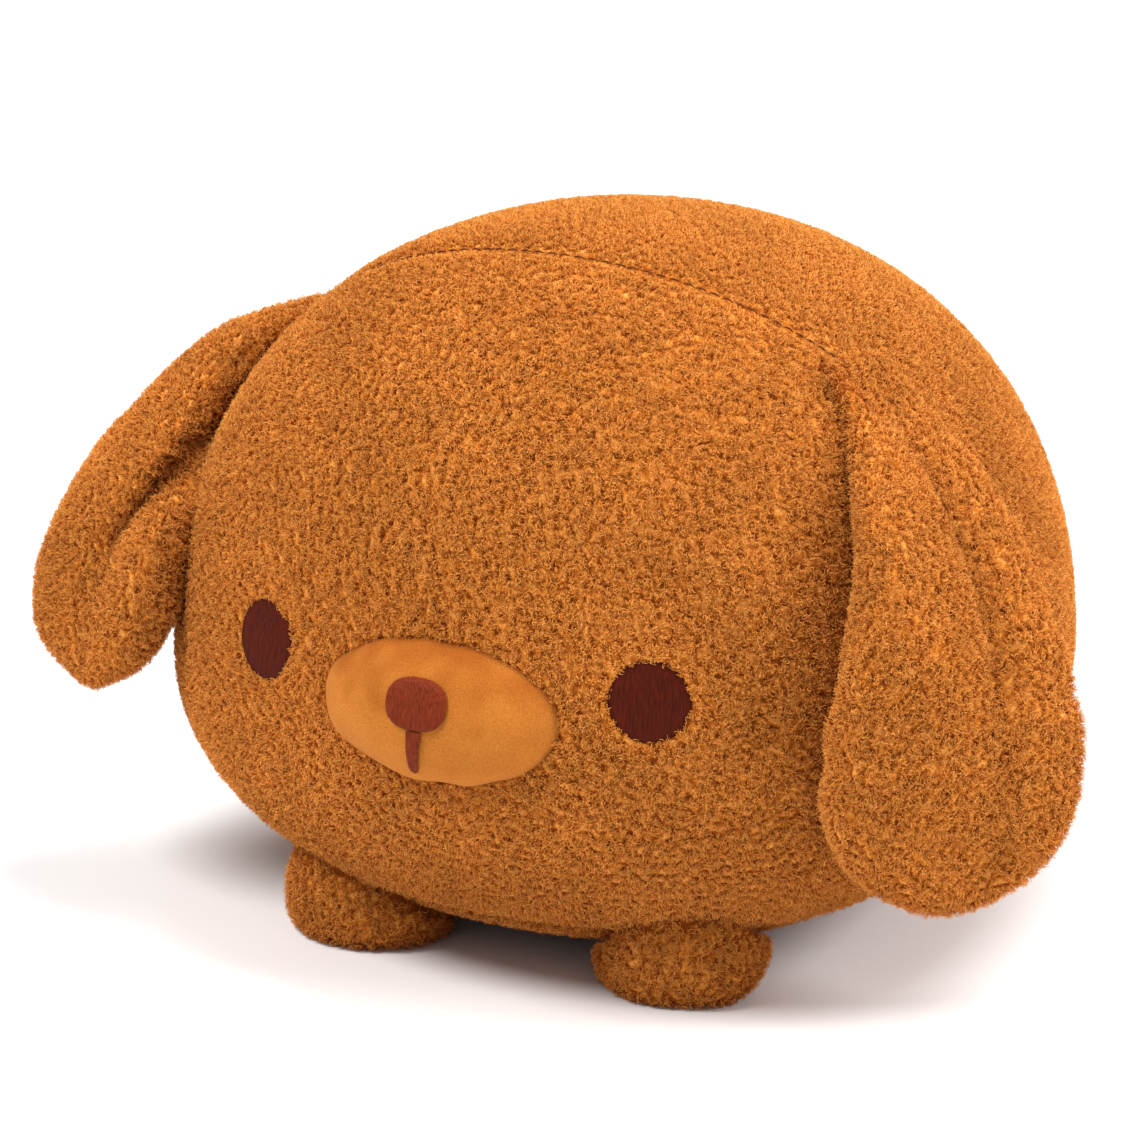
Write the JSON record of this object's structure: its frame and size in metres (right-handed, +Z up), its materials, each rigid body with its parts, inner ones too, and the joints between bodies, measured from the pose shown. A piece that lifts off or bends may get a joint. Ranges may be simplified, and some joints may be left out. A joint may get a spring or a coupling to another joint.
{
  "type": "plush dog",
  "caption": "Round plush dog on stub feet, in curly caramel pile, with long padded drop ears, a smooth oval muzzle and stitched eyes, nose and mouth.",
  "frame": {"origin": "on the floor, on the toy's mirror plane, midway between the front of the muzzle and the end of the tail", "axes": "-Y towards the face, +X towards the dog's own left, +Z up"},
  "size_m": [0.4079, 0.3814, 0.257],
  "materials": {
    "curly_plush": "matte",
    "short_pile": "matte",
    "embroidery_thread": "satin",
    "seam_thread": "matte",
    "backing_cloth": "matte",
    "fibre_fill": "matte"
  },
  "bodies": {
    "body": {"face_panel": "curly_plush", "back_panel": "curly_plush", "belly_panel": "curly_plush", "body_stuffing": "fibre_fill", "crown_seam_thread": "seam_thread", "belly_seam_thread": "seam_thread", "muzzle_cover": "short_pile", "muzzle_backing": "backing_cloth", "muzzle_padding": "fibre_fill", "nose_embroidery": "embroidery_thread", "mouth_embroidery": "embroidery_thread", "left_eye_embroidery": "embroidery_thread", "right_eye_embroidery": "embroidery_thread", "left_eye_backing": "backing_cloth", "right_eye_backing": "backing_cloth", "front_left_foot_cover": "curly_plush", "front_left_foot_stuffing": "fibre_fill", "front_right_foot_cover": "curly_plush", "front_right_foot_stuffing": "fibre_fill", "back_left_foot_cover": "curly_plush", "back_left_foot_stuffing": "fibre_fill", "back_right_foot_cover": "curly_plush", "back_right_foot_stuffing": "fibre_fill"},
    "left_ear": {"left_ear_front": "curly_plush", "left_ear_back": "curly_plush", "left_ear_batting": "fibre_fill"},
    "right_ear": {"right_ear_front": "curly_plush", "right_ear_back": "curly_plush", "right_ear_batting": "fibre_fill"},
    "tail": {"tail_cover": "curly_plush", "tail_stuffing": "fibre_fill"}
  },
  "joints": [
    {"name": "left_ear_lift", "type": "hinge", "parent": "body", "child": "left_ear", "pos_m": [0.1067, -0.06619, 0.22072], "axis": [-0.0847, -0.9919, -0.0947], "range_deg": [0, 120]},
    {"name": "right_ear_lift", "type": "hinge", "parent": "body", "child": "right_ear", "pos_m": [-0.1067, -0.06619, 0.22072], "axis": [-0.0847, 0.9919, 0.0947], "range_deg": [0, 120]},
    {"name": "tail_wag", "type": "hinge", "parent": "body", "child": "tail", "pos_m": [0, 0.16438, 0.12742], "axis": [0, 0, 1], "range_deg": [-25, 25], "stiffness_Nm_per_rad": 0.05}
  ]
}
